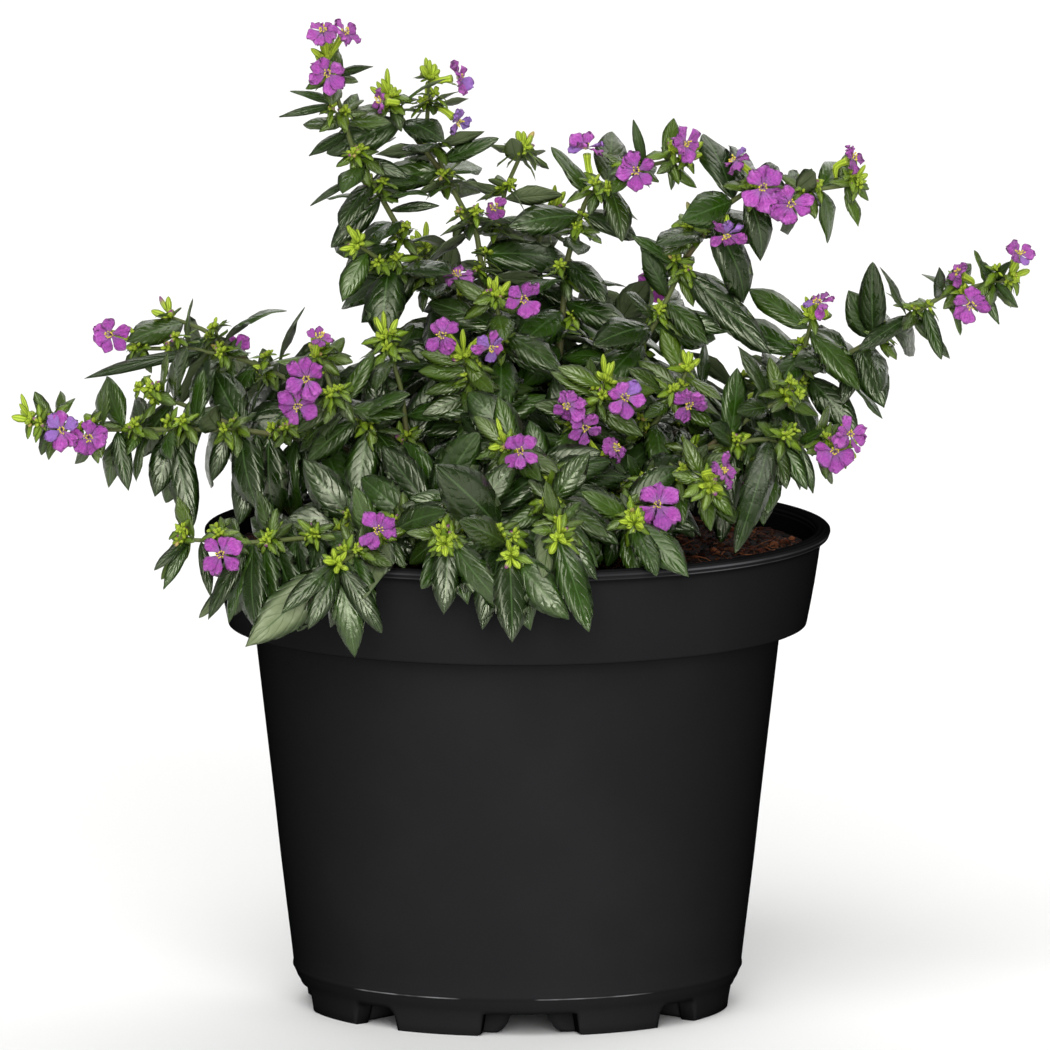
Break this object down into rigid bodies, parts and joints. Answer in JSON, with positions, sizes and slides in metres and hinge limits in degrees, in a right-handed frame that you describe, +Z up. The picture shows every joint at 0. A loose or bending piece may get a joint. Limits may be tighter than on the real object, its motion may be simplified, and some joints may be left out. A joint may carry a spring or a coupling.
{
  "type": "potted mexican heather",
  "caption": "Bushy mexican heather in a round black nursery pot: leafy arching stems, small dark glossy leaves, lime buds and small open magenta-purple blooms.",
  "frame": {"origin": "middle of the pot's foot ring, on the surface that the pot stands on", "axes": "+Z up out of the pot, -Y towards the front that the picture shows, +X to its right"},
  "size_m": [0.3264, 0.2277, 0.3181],
  "materials": {
    "pot": "black moulded plastic, matte body with a slight sheen on the rolled lip",
    "soil": "moist dark red-brown peat with light fibres",
    "foliage": "glossy dark green leaves, paler below, on thin brown-green stems with lime buds",
    "petals": "thin crinkled magenta-purple petals with darker veins"
  },
  "bodies": {
    "root": {"bloom_back_left": "petals", "bloom_back_left_low": "petals", "bloom_back_middle": "petals", "bloom_back_right": "petals", "bloom_edge_on": "petals", "bloom_far_right": "petals", "bloom_far_right_inner": "petals", "bloom_far_right_tip": "petals", "bloom_front_inner_left": "petals", "bloom_front_left": "petals", "bloom_front_right": "petals", "bloom_front_right_side": "petals", "bloom_inner_left": "petals", "bloom_inner_middle_left": "petals", "bloom_inner_middle_right": "petals", "bloom_inner_middle_top": "petals", "bloom_inner_right": "petals", "bloom_inner_right_low": "petals", "bloom_inner_right_top": "petals", "bloom_left": "petals", "bloom_left_low": "petals", "bloom_middle": "petals", "bloom_middle_right": "petals", "bloom_middle_right_back": "petals", "bloom_middle_right_tip": "petals", "bloom_right_low": "petals", "bloom_right_middle": "petals", "bloom_right_tall": "petals", "bloom_right_tall_low": "petals", "bloom_right_tall_side": "petals", "bloom_right_tall_tip": "petals", "bloom_tall_left": "petals", "bloom_tall_left_top": "petals", "bloom_tall_middle": "petals", "bloom_tall_middle_faded": "petals", "pot": "pot", "soil": "soil", "stem_back_far_right": "foliage", "stem_back_left": "foliage", "stem_back_middle": "foliage", "stem_back_right": "foliage", "stem_far_right": "foliage", "stem_front_inner_left": "foliage", "stem_front_inner_right": "foliage", "stem_front_left": "foliage", "stem_front_middle": "foliage", "stem_front_right": "foliage", "stem_inner_left": "foliage", "stem_inner_middle": "foliage", "stem_inner_right": "foliage", "stem_left": "foliage", "stem_left_low": "foliage", "stem_middle_back": "foliage", "stem_middle_right": "foliage", "stem_right_low": "foliage", "stem_right_middle": "foliage", "stem_right_tall": "foliage", "stem_tall_left": "foliage", "stem_tall_middle": "foliage"}
  },
  "joints": []
}
